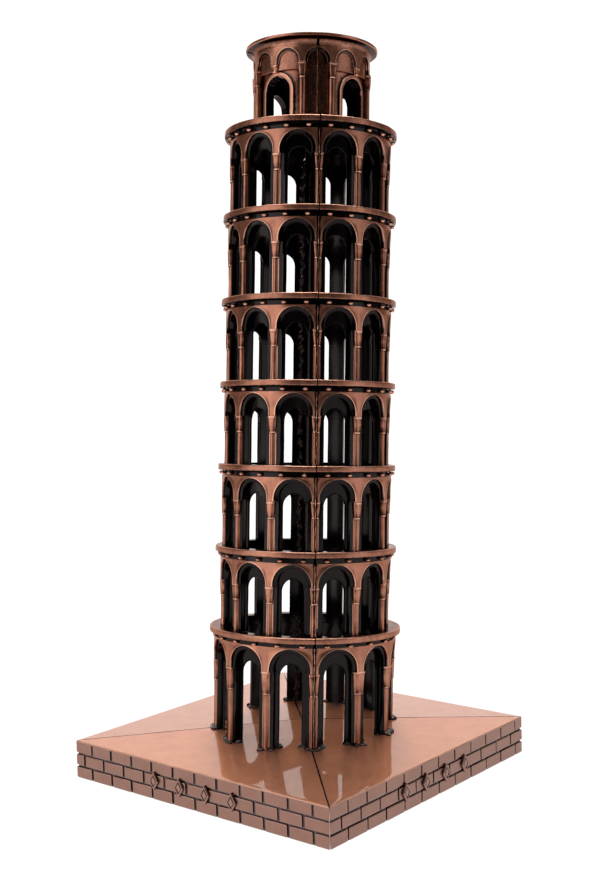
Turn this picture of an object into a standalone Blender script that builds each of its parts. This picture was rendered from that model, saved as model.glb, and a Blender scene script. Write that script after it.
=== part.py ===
"""Leaning tower ornament: a die-cast arcaded tower on a square brick-sided base.

The base is four hollow wedge castings that meet along the diagonals. The tower is
a ring of four quarter castings per section (ground storey, six galleries, belfry),
soldered along the same diagonals. Units are metres, +Z is up, and the origin is the
centre of the base's underside. Front faces -Y, and the tower leans to the back.
"""
import bpy
import bmesh
from math import cos, sin, radians, sqrt
from mathutils import Matrix, Vector

MM = 0.001

# ---- driving dimensions ----------------------------------------------------------
BASE_SIDE = 78.0 * MM
BASE_HEIGHT = 9.15 * MM          # height of the vertical brick sides
APEX_RISE = 2.35 * MM            # the top is a low pyramid
BASE_WALL = 1.8 * MM             # wall thickness of the wedge castings
GAP = 0.3 * MM                   # clearance between neighbouring castings

LEAN = radians(4.74)
LEAN_TOWARDS = radians(102.0)    # heading of the lean: back, and a little to the left
TOWER_FOOT = (0.33 * MM, 0.28 * MM)

# Heights along the leaning axis and outer radii, from the ground storey up.
LEDGE_Z = [23.3 * MM, 42.85 * MM, 62.65 * MM, 82.5 * MM, 102.5 * MM, 122.85 * MM, 143.3 * MM]
LEDGE_R = [23.35 * MM, 22.15 * MM, 21.7 * MM, 21.45 * MM, 21.35 * MM, 21.15 * MM, 21.05 * MM]
FACE_R = [22.25 * MM, 20.9 * MM, 20.75 * MM, 20.4 * MM, 20.2 * MM, 19.95 * MM, 19.7 * MM]
BELFRY_TOP = 163.65 * MM
BAYS_PER_QUARTER = 3
BAY = radians(30.0)
LEDGE_T = 1.45 * MM
LEDGE_EDGE = 0.35 * MM           # rounding of the ledge's edge

BORE_R_FOOT = 18.4 * MM          # radius of the hollow shaft, narrowing upwards
BORE_R_HEAD = 16.8 * MM
RECESS = 1.5 * MM                # depth of the outer arches
ARCH_RATIO = 0.229               # outer arch radius over the arcade face radius
ARCH_DROP = 2.75 * MM            # from a ledge's top down to the arch crown
WINDOW_R = 2.85 * MM
WINDOW_DROP = 6.5 * MM           # from a ledge's top down to the window crown
PIER_SET_BACK = 0.8 * MM         # from the arcade face to the piers behind the shafts
PIER_CUT_W = 1.9 * MM

CAPITAL_DROP = 8.35 * MM         # from a ledge's top down to a capital's top
CAPITAL_H = 3.95 * MM
CAPITAL_W = 2.15 * MM
CAPITAL_FOOT_W = 1.6 * MM
CAPITAL_PROUD = 0.05 * MM        # how far capitals stand in front of the arcade face
SHAFT_R = 0.68 * MM
SHAFT_INSET = 0.2 * MM           # how far the shafts stay behind the capitals
GROUND_SHAFT_R = 0.92 * MM
GROUND_CAPITAL_SCALE = 1.3
GROUND_DEPTH = 4.7 * MM          # how far the ground storey goes below its pivot
COLUMN_FOOT_Z = -4.1 * MM
COLUMN_SINK = 0.4 * MM           # depth of a gallery column's foot in the ledge

BELFRY_FACE_R = 14.3 * MM
BELFRY_CORNICE_R = 16.15 * MM
BELFRY_CORNICE_T = 0.7 * MM
BELFRY_COVE_T = 2.0 * MM         # cornice and cove together
BELFRY_BORE_R = 10.9 * MM
BELFRY_RECESS = 1.5 * MM
BELFRY_ARCH_R = 3.1 * MM
BELFRY_ARCH_DROP = 2.85 * MM
BELFRY_CAPITAL_DROP = 6.4 * MM
DOOR_BAY_R = 4.6 * MM            # plain recess that holds the doorway
DOOR_R = 3.7 * MM
DOOR_DROP = 8.9 * MM
DECK_T = 1.6 * MM                # plate that carries the belfry

SOLDER_BEAD_R = 0.8 * MM
SEAM_BEAD_FOOT_Z = 1.5 * MM
FOOT_BLOB_R = 2.0 * MM
FOOT_BLOB_SQUAT = 0.75
CLEARANCE_REACH = 6.0 * MM       # size of the shapes that keep solder off the castings
HIP_BEAD_R = 1.0 * MM
HIP_BEAD_ENDS = (4.0 * MM, 3.0 * MM)

BOSSES = 4                       # plain raised lozenges on each side of the base
BOSS_H = 4.6 * MM
BOSS_W = 3.0 * MM
BOSS_PROUD = 0.6 * MM
BOSS_PITCH = 8.0 * MM

RING_STEP = radians(15.0)
ARCH_STEPS = 6
SHAFT_SIDES = 6
SIDES = ["right", "back", "left", "front"]        # quarter k faces the angle 90 * k
QUARTER = radians(90.0)
APEX_Z = BASE_HEIGHT + APEX_RISE
SLOPE = APEX_RISE / (BASE_SIDE / 2)


# ---- scene helpers ---------------------------------------------------------------
def clear_scene():
    for obj in list(bpy.data.objects):
        bpy.data.objects.remove(obj, do_unlink=True)


def new_collection(name):
    collection = bpy.data.collections.new(name)
    bpy.context.scene.collection.children.link(collection)
    return collection


def material(name, color, roughness, metallic):
    mat = bpy.data.materials.new(name)
    mat.use_nodes = True
    shader = mat.node_tree.nodes["Principled BSDF"]
    shader.inputs["Base Color"].default_value = (*color, 1.0)
    shader.inputs["Roughness"].default_value = roughness
    shader.inputs["Metallic"].default_value = metallic
    return mat


def object_from(bm, name, collection, parent=None):
    bmesh.ops.recalc_face_normals(bm, faces=bm.faces)
    mesh = bpy.data.meshes.new(name)
    bm.to_mesh(mesh)
    bm.free()
    obj = bpy.data.objects.new(name, mesh)
    collection.objects.link(obj)
    obj.parent = parent
    if collection.name == "cutters":
        obj.hide_render = True
        obj.display_type = "WIRE"
    return obj


def boolean(obj, other, operation, self_cut=False):
    mod = obj.modifiers.new(f"{operation.lower()} {other.name}", "BOOLEAN")
    mod.operation = operation
    mod.solver = "EXACT"
    mod.use_self = self_cut
    mod.object = other
    return mod


def tidy_flats(obj):
    """Join the pieces of flat faces that the cuts have left."""
    mod = obj.modifiers.new("tidy flats", "DECIMATE")
    mod.decimate_type = "DISSOLVE"
    mod.angle_limit = radians(0.2)
    mod.delimit = {"NORMAL"}


def applied_mesh(obj, name):
    """The object's shape after its modifiers, as a mesh of its own."""
    bpy.context.view_layer.update()
    depsgraph = bpy.context.evaluated_depsgraph_get()
    mesh = bpy.data.meshes.new_from_object(obj.evaluated_get(depsgraph))
    mesh.name = name
    return mesh


# ---- shape helpers ---------------------------------------------------------------
def spin_profile(bm, profile):
    """Sweep a closed (radius, height) outline over one quarter about the Z axis."""
    start = -QUARTER / 2
    verts = [bm.verts.new((r * cos(start), r * sin(start), z)) for r, z in profile]
    face = bm.faces.new(verts)
    geom = [face, *face.edges, *face.verts]
    bmesh.ops.spin(bm, geom=geom, cent=(0, 0, 0), axis=(0, 0, 1), angle=QUARTER,
                   steps=round(QUARTER / RING_STEP), use_duplicate=False)


def arch_outline(radius, crown_z, foot_z):
    """Round-headed opening seen from the front, as (across, up) points."""
    spring_z = crown_z - radius
    points = [(-radius, foot_z), (radius, foot_z)]
    for i in range(ARCH_STEPS + 1):
        angle = radians(180.0) * i / ARCH_STEPS
        points.append((radius * cos(angle), spring_z + radius * sin(angle)))
    return points


def add_arch_prism(bm, angle, depth_from, depth_to, radius, crown_z, foot_z):
    """Round-headed block that runs outwards along the direction `angle`."""
    turn = Matrix.Rotation(angle, 3, "Z")
    outline = arch_outline(radius, crown_z, foot_z)
    verts = [bm.verts.new(turn @ Vector((depth_from, y, z))) for y, z in outline]
    face = bm.faces.new(verts)
    grown = bmesh.ops.extrude_face_region(bm, geom=[face])
    moved = [g for g in grown["geom"] if isinstance(g, bmesh.types.BMVert)]
    outwards = turn @ Vector((depth_to - depth_from, 0, 0))
    bmesh.ops.translate(bm, verts=moved, vec=outwards)


def add_cone(bm, radius_low, radius_high, low, high, segments, turn=0.0):
    """Upright cone or prism between the points `low` and `high`."""
    axis = high - low
    spin = Matrix.Rotation(turn, 4, "Z")
    tilt = axis.to_track_quat("Z", "Y").to_matrix().to_4x4()
    place = Matrix.Translation((low + high) / 2) @ tilt @ spin
    bmesh.ops.create_cone(bm, cap_ends=True, segments=segments, radius1=radius_low,
                          radius2=radius_high, depth=axis.length, matrix=place)


def add_box(bm, center, size, turn=0.0):
    place = Matrix.Translation(center) @ Matrix.Rotation(turn, 4, "Z")
    place = place @ Matrix.Diagonal((*size, 1.0))
    bmesh.ops.create_cube(bm, size=1.0, matrix=place)


def add_copy(bm, other):
    """Move everything in `other` into `bm`."""
    made = {vert: bm.verts.new(vert.co) for vert in other.verts}
    for face in other.faces:
        bm.faces.new([made[vert] for vert in face.verts])
    other.free()


def polar(radius, angle, z):
    return Vector((radius * cos(angle), radius * sin(angle), z))


def bore_radius(z):
    return BORE_R_FOOT + (BORE_R_HEAD - BORE_R_FOOT) * z / LEDGE_Z[-1]


def ledge_profile(radius, top_z):
    """Outer edge of a ledge, from its underside to its top."""
    return [(radius - LEDGE_EDGE, top_z - LEDGE_T),
            (radius, top_z - LEDGE_T / 2),
            (radius - LEDGE_EDGE, top_z)]


# ---- one quarter of an arcade ------------------------------------------------------
def bay_angles():
    middle = (BAYS_PER_QUARTER - 1) / 2
    return [(i - middle) * BAY for i in range(BAYS_PER_QUARTER)]


def column_angles():
    return [(i - BAYS_PER_QUARTER / 2) * BAY for i in range(BAYS_PER_QUARTER + 1)]


def add_arcade_recesses(bm, face_r, top_z, foot_z):
    """Round-headed recesses, and slots that set the piers back behind the shafts."""
    front_r = face_r + RECESS
    for angle in bay_angles():
        add_arch_prism(bm, angle, face_r - RECESS, front_r,
                       ARCH_RATIO * face_r, top_z - ARCH_DROP, foot_z)
    back_r = face_r - PIER_SET_BACK
    head_z = top_z - CAPITAL_DROP - CAPITAL_H / 4
    for angle in column_angles():
        middle = polar((front_r + back_r) / 2, angle, (foot_z + head_z) / 2)
        add_box(bm, middle, (front_r - back_r, PIER_CUT_W, head_z - foot_z), angle)


def add_arcade_windows(bm, face_r, top_z, foot_z):
    for angle in bay_angles():
        add_arch_prism(bm, angle, BORE_R_HEAD - 2 * RECESS, face_r - RECESS / 2,
                       WINDOW_R, top_z - WINDOW_DROP, foot_z)


def add_column(bm, face_r, angle, capital_z, foot_z, shaft_r, capital_scale=1.0):
    """Round shaft with a tapered square capital, engaged in the arcade face."""
    capital_foot_z = capital_z - CAPITAL_H
    half_diagonal = capital_scale / sqrt(2)
    center_r = face_r + CAPITAL_PROUD - CAPITAL_W * capital_scale / 2
    add_cone(bm, CAPITAL_FOOT_W * half_diagonal, CAPITAL_W * half_diagonal,
             polar(center_r, angle, capital_foot_z), polar(center_r, angle, capital_z),
             4, angle + radians(45))
    shaft_center_r = face_r + CAPITAL_PROUD - SHAFT_INSET - shaft_r
    add_cone(bm, shaft_r, shaft_r, polar(shaft_center_r, angle, foot_z),
             polar(shaft_center_r, angle, capital_z - CAPITAL_H / 2), SHAFT_SIDES, angle)


def build_quarter(name, profile, recesses, windows, columns, helpers):
    """Turned quarter with its arches cut, its columns joined and its seams trimmed."""
    bm = bmesh.new()
    spin_profile(bm, profile)
    shell = object_from(bm, f"{name}_shell", helpers)
    for label, fill, operation in (("recesses", recesses, "DIFFERENCE"),
                                   ("windows", windows, "DIFFERENCE"),
                                   ("columns", columns, "UNION")):
        bm = bmesh.new()
        fill(bm)
        tool = object_from(bm, f"{name}_{label}", helpers)
        boolean(shell, tool, operation, self_cut=True)
    bm = bmesh.new()
    reach = 4 * BASE_SIDE
    offset = GAP / 2 * sqrt(2) + reach / sqrt(2)
    add_box(bm, Vector((offset, 0, 0)), (reach, reach, 2 * reach), radians(45))
    wedge = object_from(bm, f"{name}_wedge", helpers)
    boolean(shell, wedge, "INTERSECT")
    tidy_flats(shell)
    return applied_mesh(shell, name)


def ground_storey_mesh(helpers):
    face_r = FACE_R[0]
    foot_z = -GROUND_DEPTH
    top_z = LEDGE_Z[0]
    profile = [(bore_radius(foot_z), foot_z), (face_r, foot_z),
               (face_r, top_z - LEDGE_T), *ledge_profile(LEDGE_R[0], top_z),
               (bore_radius(top_z), top_z)]

    def columns(bm):
        for angle in column_angles():
            add_column(bm, face_r, angle, top_z - CAPITAL_DROP, COLUMN_FOOT_Z,
                       GROUND_SHAFT_R, GROUND_CAPITAL_SCALE)

    return build_quarter(
        "ground_storey", profile,
        lambda bm: add_arcade_recesses(bm, face_r, top_z, 2 * foot_z),
        lambda bm: add_arcade_windows(bm, face_r, top_z, 2 * foot_z),
        columns, helpers)


def gallery_levels():
    """Face radius, ledge radius, floor and ledge top of each gallery."""
    return list(zip(FACE_R[1:], LEDGE_R[1:], LEDGE_Z, LEDGE_Z[1:]))


def gallery_mesh(helpers):
    levels = gallery_levels()
    foot_z = LEDGE_Z[0] + GAP
    head_z = LEDGE_Z[-1]
    profile = [(bore_radius(foot_z), foot_z)]
    for face_r, ledge_r, floor_z, top_z in levels:
        profile += [(face_r, max(floor_z, foot_z)), (face_r, top_z - LEDGE_T)]
        profile += ledge_profile(ledge_r, top_z)
    profile += [(BELFRY_BORE_R, head_z), (BELFRY_BORE_R, head_z - DECK_T),
                (bore_radius(head_z), head_z - DECK_T)]

    def recesses(bm):
        for face_r, ledge_r, floor_z, top_z in levels:
            add_arcade_recesses(bm, face_r, top_z, floor_z)

    def windows(bm):
        for face_r, ledge_r, floor_z, top_z in levels:
            sill_z = floor_z if floor_z > foot_z else floor_z - MM
            add_arcade_windows(bm, face_r, top_z, sill_z)

    def columns(bm):
        for face_r, ledge_r, floor_z, top_z in levels:
            sink = COLUMN_SINK if floor_z > foot_z else -GAP
            for angle in column_angles():
                add_column(bm, face_r, angle, top_z - CAPITAL_DROP, floor_z - sink, SHAFT_R)

    return build_quarter("galleries", profile, recesses, windows, columns, helpers)


def belfry_mesh(helpers):
    foot_z = LEDGE_Z[-1] + GAP
    top_z = BELFRY_TOP
    face_r = BELFRY_FACE_R
    wall_r = face_r - BELFRY_RECESS
    cut_r = face_r + 3 * BELFRY_RECESS
    cornice_foot_z = top_z - BELFRY_CORNICE_T
    profile = [(BELFRY_BORE_R, foot_z), (face_r, foot_z), (face_r, top_z - BELFRY_COVE_T),
               (BELFRY_CORNICE_R - LEDGE_EDGE, cornice_foot_z - LEDGE_EDGE),
               (BELFRY_CORNICE_R, cornice_foot_z), (BELFRY_CORNICE_R, top_z),
               (BELFRY_BORE_R, top_z)]
    crown_z = top_z - BELFRY_ARCH_DROP

    def recesses(bm):
        for angle in column_angles():
            add_arch_prism(bm, angle, wall_r, cut_r, BELFRY_ARCH_R, crown_z, foot_z - MM)

    def windows(bm):
        add_arch_prism(bm, 0.0, wall_r, cut_r, DOOR_BAY_R, top_z - BELFRY_CAPITAL_DROP,
                       foot_z - 2 * MM)
        add_arch_prism(bm, 0.0, BELFRY_BORE_R / 2, wall_r + MM / 2, DOOR_R,
                       top_z - DOOR_DROP, foot_z - 3 * MM)

    def columns(bm):
        for angle in (-BAY, BAY):
            add_column(bm, face_r, angle, top_z - BELFRY_CAPITAL_DROP, foot_z, SHAFT_R)

    return build_quarter("belfry", profile, recesses, windows, columns, helpers)


# ---- base -------------------------------------------------------------------------
def add_pyramid_block(bm, side, low_z, high_z, rise):
    """Square block with a low pyramid on top."""
    add_box(bm, Vector((0, 0, (low_z + high_z) / 2)), (side, side, high_z - low_z))
    bm.faces.ensure_lookup_table()
    top = max(bm.faces, key=lambda face: face.calc_center_median().z)
    poked = bmesh.ops.poke(bm, faces=[top])
    for vert in poked["verts"]:
        vert.co.z = high_z + rise


def base_mesh(helpers):
    """One wedge of the base, facing +X, open underneath."""
    bm = bmesh.new()
    add_pyramid_block(bm, BASE_SIDE, 0.0, BASE_HEIGHT, APEX_RISE)
    wedge_block = object_from(bm, "base_block", helpers)

    bm = bmesh.new()
    hollow_side = BASE_SIDE - 2 * BASE_WALL
    hollow_rise = SLOPE * hollow_side / 2
    hollow_top = BASE_HEIGHT - BASE_WALL + SLOPE * BASE_WALL
    add_pyramid_block(bm, hollow_side, -BASE_WALL, hollow_top, hollow_rise)
    hollow = object_from(bm, "base_hollow", helpers)
    boolean(wedge_block, hollow, "DIFFERENCE")

    bm = bmesh.new()
    for i in range(BOSSES):
        across = (i - (BOSSES - 1) / 2) * BOSS_PITCH
        low = Vector((BASE_SIDE / 2 - BASE_WALL / 2, across, BASE_HEIGHT / 2))
        high = Vector((BASE_SIDE / 2 + BOSS_PROUD, across, BASE_HEIGHT / 2))
        boss = bmesh.new()
        add_cone(boss, 0.5, 0.5, low, high, 4)
        for vert in boss.verts:
            y = across + (vert.co.y - across) * BOSS_W
            z = BASE_HEIGHT / 2 + (vert.co.z - BASE_HEIGHT / 2) * BOSS_H
            vert.co = (vert.co.x, y, z)
        add_copy(bm, boss)
    bosses = object_from(bm, "base_bosses", helpers)
    boolean(wedge_block, bosses, "UNION")

    bm = bmesh.new()
    reach = 2 * BASE_SIDE
    offset = GAP / 2 * sqrt(2) + reach / sqrt(2)
    add_box(bm, Vector((offset, 0, 0)), (reach, reach, reach), radians(45))
    wedge = object_from(bm, "base_wedge", helpers)
    boolean(wedge_block, wedge, "INTERSECT")
    tidy_flats(wedge_block)
    return applied_mesh(wedge_block, "base")


# ---- solder -------------------------------------------------------------------------
def surface_z(x, y):
    """Height of the base's sloping top."""
    return APEX_Z - SLOPE * max(abs(x), abs(y))


def foot_blob(name, angle, tower, floor_cutter, parts, helpers):
    """Solder crescent around the outer side of a ground column's foot."""
    column_r = FACE_R[0] + CAPITAL_PROUD - SHAFT_INSET - GROUND_SHAFT_R
    bm = bmesh.new()
    bmesh.ops.create_uvsphere(bm, u_segments=10, v_segments=6, radius=FOOT_BLOB_R)
    place = tower.matrix_world @ Matrix.Translation(polar(column_r, angle, 0))
    spot = place.to_translation()
    spot.z = surface_z(spot.x, spot.y)
    squat = Matrix.Diagonal((1.0, 1.0, FOOT_BLOB_SQUAT, 1.0))
    bmesh.ops.transform(bm, matrix=Matrix.Translation(spot) @ squat, verts=bm.verts)
    blob = object_from(bm, name, parts)
    bm = bmesh.new()
    clear_r = GROUND_SHAFT_R + 1.2 * GAP
    add_cone(bm, clear_r, clear_r, polar(column_r, angle, -CLEARANCE_REACH),
             polar(column_r, angle, CLEARANCE_REACH), 8, angle)
    depth = CLEARANCE_REACH
    back_r = column_r + 1.1 * GAP - depth / 2
    add_box(bm, polar(back_r, angle, 0), (depth, 3 * depth, 2 * depth), angle)
    cutter = object_from(bm, f"{name}_clearance", helpers, tower)
    boolean(blob, cutter, "DIFFERENCE", self_cut=True)
    boolean(blob, floor_cutter, "DIFFERENCE")
    return blob


def seam_bead(name, angle, tower, parts):
    """Solder bead that runs up the inside of a tower seam."""
    bead = SOLDER_BEAD_R
    foot_z = SEAM_BEAD_FOOT_Z
    head_z = LEDGE_Z[-1] - DECK_T - GAP
    clearance = bead + 1.3 * GAP
    bm = bmesh.new()
    add_cone(bm, bead, bead, polar(bore_radius(foot_z) - clearance, angle, foot_z),
             polar(bore_radius(head_z) - clearance, angle, head_z), 6)
    return object_from(bm, name, parts, tower)


def hip_bead(name, angle, parts):
    """Solder bead under the base's top, along a diagonal between two wedges."""
    inner = HIP_BEAD_ENDS[0]
    outer = (BASE_SIDE / 2 - BASE_WALL) * sqrt(2) - HIP_BEAD_ENDS[1]
    drop = BASE_WALL + HIP_BEAD_R + 1.5 * GAP
    ends = []
    for reach in (inner, outer):
        x, y = reach * cos(angle), reach * sin(angle)
        ends.append(Vector((x, y, surface_z(x, y) - drop)))
    bm = bmesh.new()
    add_cone(bm, HIP_BEAD_R, HIP_BEAD_R, ends[0], ends[1], 6)
    return object_from(bm, name, parts)


# ---- assembly -----------------------------------------------------------------------
def tower_axis():
    axis = bpy.data.objects.new("tower_axis", None)
    bpy.context.scene.collection.objects.link(axis)
    axis.location = (*TOWER_FOOT, APEX_Z)
    hinge = Vector((-sin(LEAN_TOWARDS), cos(LEAN_TOWARDS), 0))
    axis.rotation_euler = Matrix.Rotation(LEAN, 3, hinge).to_euler()
    bpy.context.view_layer.update()
    return axis


def place_quarters(prefix, mesh, mat, parts, parent=None):
    """Four objects that share one mesh, a quarter turn apart."""
    mesh.materials.clear()
    mesh.materials.append(mat)
    quarters = []
    for k, side in enumerate(SIDES):
        obj = bpy.data.objects.new(f"{prefix}_{side}", mesh)
        parts.objects.link(obj)
        obj.parent = parent
        obj.rotation_euler = (0, 0, k * QUARTER)
        quarters.append(obj)
    return quarters


def main():
    clear_scene()
    parts = new_collection("leaning tower ornament")
    helpers = new_collection("cutters")
    copper = material("antique_copper", (0.36, 0.17, 0.115), 0.32, 1.0)
    base_copper = material("polished_copper", (0.47, 0.26, 0.20), 0.2, 1.0)
    solder = material("dark_solder", (0.03, 0.018, 0.016), 0.25, 0.8)
    tower = tower_axis()

    place_quarters("base", base_mesh(helpers), base_copper, parts)
    ground = place_quarters("ground_storey", ground_storey_mesh(helpers), copper, parts, tower)
    place_quarters("galleries", gallery_mesh(helpers), copper, parts, tower)
    place_quarters("belfry", belfry_mesh(helpers), copper, parts, tower)

    bm = bmesh.new()
    raised = GAP
    add_pyramid_block(bm, BASE_SIDE, -BASE_HEIGHT, BASE_HEIGHT + raised, APEX_RISE)
    floor_cutter = object_from(bm, "base_clearance", helpers)
    for quarter in ground:
        boolean(quarter, floor_cutter, "DIFFERENCE")

    bays = 4 * BAYS_PER_QUARTER
    for i in range(bays):
        angle = QUARTER / 2 + i * BAY
        blob = foot_blob(f"foot_solder_{i + 1:02d}", angle, tower, floor_cutter, parts, helpers)
        blob.data.materials.append(solder)
    for k in range(4):
        angle = QUARTER / 2 + k * QUARTER
        corner = f"{SIDES[k]}_{SIDES[(k + 1) % 4]}"
        seam_bead(f"seam_solder_{corner}", angle, tower, parts).data.materials.append(solder)
        hip_bead(f"hip_solder_{corner}", angle, parts).data.materials.append(solder)


main()
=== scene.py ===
"""Looks of the leaning tower ornament: fine castings, patina, solder, light and camera."""
from math import cos, pi, radians, sin, sqrt

import bmesh
import bpy
import numpy as np
from mathutils import Matrix, Vector, noise


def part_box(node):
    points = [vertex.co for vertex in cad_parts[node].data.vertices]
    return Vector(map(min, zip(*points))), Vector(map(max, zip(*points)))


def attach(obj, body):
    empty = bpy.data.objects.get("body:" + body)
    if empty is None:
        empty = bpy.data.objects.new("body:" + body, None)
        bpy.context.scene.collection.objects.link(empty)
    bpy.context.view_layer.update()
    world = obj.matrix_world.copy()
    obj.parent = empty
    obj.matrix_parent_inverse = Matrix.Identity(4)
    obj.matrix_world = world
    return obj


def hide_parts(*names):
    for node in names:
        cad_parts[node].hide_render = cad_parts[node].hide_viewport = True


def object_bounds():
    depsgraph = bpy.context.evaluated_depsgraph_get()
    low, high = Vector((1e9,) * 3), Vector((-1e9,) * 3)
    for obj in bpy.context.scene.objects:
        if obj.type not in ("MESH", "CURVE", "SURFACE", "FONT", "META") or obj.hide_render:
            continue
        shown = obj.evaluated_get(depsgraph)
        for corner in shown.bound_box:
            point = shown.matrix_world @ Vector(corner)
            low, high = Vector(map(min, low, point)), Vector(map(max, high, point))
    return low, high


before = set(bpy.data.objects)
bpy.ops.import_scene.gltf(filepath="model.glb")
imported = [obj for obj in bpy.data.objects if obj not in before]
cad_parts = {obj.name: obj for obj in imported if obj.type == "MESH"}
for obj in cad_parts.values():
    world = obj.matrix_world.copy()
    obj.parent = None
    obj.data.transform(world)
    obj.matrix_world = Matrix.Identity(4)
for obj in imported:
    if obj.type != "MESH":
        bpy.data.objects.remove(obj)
cad_low, cad_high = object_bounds()
noise.seed_set(1)  # the castings' small uneven shifts are then the same in every run

MM = 0.001
SIDES = ["right", "back", "left", "front"]  # quarter k faces the angle 90 * k
QUARTER = radians(90.0)
BAY = radians(30.0)

# ---- sizes, in the frame's own metres ----
SEAM_SPARE = 0.2 * MM  # the solids stop short of the mitre
BASE_HALF = round((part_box("base_right")[1].y + SEAM_SPARE) / MM) * MM
APEX_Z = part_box("base_front")[1].z
BASE_HEIGHT = 9.15 * MM
APEX_RISE = APEX_Z - BASE_HEIGHT
SLOPE = APEX_RISE / BASE_HALF
SEAM = 0.34 * MM  # half the width of a tower seam
RIM_SEAM = 0.15 * MM  # the same, through a ledge's rim
HIP_GAP = 0.10 * MM  # how far a base mitre stands back

LEAN = radians(4.74)
LEAN_TOWARDS = radians(102.0)  # back, and a little to the left
TOWER_FOOT = Vector((0.33 * MM, 0.28 * MM, APEX_Z))
LEAN_AXIS = Vector((-sin(LEAN_TOWARDS), cos(LEAN_TOWARDS), 0.0))
TOWER = Matrix.Translation(TOWER_FOOT) @ Matrix.Rotation(LEAN, 4, LEAN_AXIS)

# all in mm, up the tower's own axis, ground storey first
LEDGE_Z = [23.3, 42.85, 62.65, 82.5, 102.5, 122.85, 143.3]
LEDGE_R = [23.35, 22.15, 21.7, 21.45, 21.35, 21.15, 21.05]
FACE_R = [22.25, 20.9, 20.75, 20.4, 20.2, 19.95, 19.7]
STOREYS = len(FACE_R)
TOWER_HEAD = LEDGE_Z[-1] * MM

WALL_T = 2.65 * MM
RIM_T = 1.45 * MM
ARCH_SHARE = 0.229  # arch radius over face radius
ARCH_DROP = 2.9 * MM  # all drops are below the rim's top
CAPITAL_DROP = 8.35 * MM
WINDOW_DROP = 6.5 * MM
COVE_DROP = 2.72 * MM
GROUND_ARCH_DROP = 2.6 * MM
GROUND_COVE_DROP = 2.42 * MM
BEAD_DROP = 2.1 * MM
WINDOW_R = 3.05 * MM
WINDOW_DEPTH = -2.2 * MM
PIER_SET_BACK = -0.8 * MM
GROUND_FOOT_Z = -4.6 * MM  # deep enough for the low side

# capital height, then the widths of capital top, capital foot and shaft, all in mm
CAPITAL_H = 3.95
GROUND_CAPITAL_H = 5.3
COLUMN = (2.15, 1.6, 1.36)
SEAM_COLUMN = (2.25, 1.75, 1.5)
GROUND_COLUMN = [(3.3, 2.6, 2.15), (2.35, 2.0, 1.75)]  # right and left, back and front
GROUND_SEAM_COLUMN = (2.6, 1.95, 1.6)

BELFRY_TOP = 163.65 * MM
BELFRY_FACE_R = 14.3 * MM
BELFRY_BORE_R = 10.9 * MM
BELFRY_RECESS = 1.5 * MM
BELFRY_WALL_R = BELFRY_FACE_R - BELFRY_RECESS
BELFRY_CAPITAL_Z = BELFRY_TOP - 6.4 * MM
BELFRY_ARCH_R = 3.1 * MM
BELFRY_ARCH_DROP = 2.85 * MM
DOOR_R = 3.65 * MM
DOOR_DROP = 8.9 * MM
LINTEL_DROP = 7.85 * MM
BELFRY_CAPITAL_H = 3.7
BELFRY_COLUMN = (1.95, 1.4, 1.5)
CORBEL_H = 1.9
CORBEL = (1.95, 1.5, 1.5)
CORBEL_FIRST_ROW = 6  # the capital alone
BAND_TOP = BELFRY_TOP - 2.4 * MM  # top of the arcade, under the cove


# ---- mesh gathering ----
class Casting:
    """Points and faces of one piece, with a patina value (patina, and painted shade in places) and
    an edge value (wear and painted highlight) at each point.
    """

    def __init__(self):
        self.points = []
        self.patina = []
        self.edge = []
        self.faces = []
        self.free = []  # (first, last) points that no seam cuts back

    def row(self, points, patina, edge):
        """Add points and return their numbers."""
        first = len(self.points)
        self.points.extend(points)
        count = len(points)
        self.patina.extend(np.broadcast_to(patina, count).tolist())
        self.edge.extend(np.broadcast_to(edge, count).tolist())
        return list(range(first, first + count))

    def loft(self, rows, ring=False):
        """Quads between each row and the next; a ring joins each row's two ends."""
        for low, high in zip(rows, rows[1:]):
            count = len(low)
            for i in range(count if ring else count - 1):
                j = (i + 1) % count
                self.faces.append((low[i], low[j], high[j], high[i]))

    def cap(self, loop):
        """One flat face across an open end."""
        self.faces.append(tuple(loop))

    def solid(self, rings):
        """A closed shape through the given rings."""
        self.loft(rings, ring=True)
        self.cap(rings[0])
        self.cap(rings[-1][::-1])

    def piece(self, name, mat, nodes, shape, sharp=35.0):
        """Make the piece, with its points moved into place by `shape`."""
        mesh = bpy.data.meshes.new(name)
        mesh.from_pydata(shape(np.array(self.points, float)).tolist(), [], self.faces)
        for label, values in (("patina", self.patina), ("edge", self.edge)):
            data = mesh.attributes.new(label, "FLOAT", "POINT").data
            data.foreach_set("value", np.array(values, np.float32))
        bm = bmesh.new()
        bm.from_mesh(mesh)
        bmesh.ops.remove_doubles(bm, verts=bm.verts, dist=0.5e-6)
        bmesh.ops.recalc_face_normals(bm, faces=bm.faces)
        bm.to_mesh(mesh)
        bm.free()
        mesh.shade_smooth()
        mesh.set_sharp_from_angle(angle=radians(sharp))
        mesh.materials.append(mat)
        place_piece(add_object(name, mesh), nodes)


def add_object(name, data):
    """A new object in the scene."""
    obj = bpy.data.objects.new(name, data)
    bpy.context.scene.collection.objects.link(obj)
    return obj


def place_piece(obj, nodes):
    """Put a piece on the root body, in place of the CAD nodes."""
    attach(obj, "root")
    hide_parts(*nodes)


def polar(radius, angle, z):
    """The point at a radius, angle and height."""
    return (radius * cos(angle), radius * sin(angle), z)


def turned(points, angle):
    """Points turned about the tower's axis."""
    x = points[:, 0] * cos(angle) - points[:, 1] * sin(angle)
    y = points[:, 0] * sin(angle) + points[:, 1] * cos(angle)
    return np.stack([x, y, points[:, 2]], axis=1)


def bore_radius(z):
    """Radius of the hollow shaft, which follows the faces."""
    return float(np.interp(z / MM, LEDGE_Z, FACE_R)) * MM - WALL_T


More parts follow.
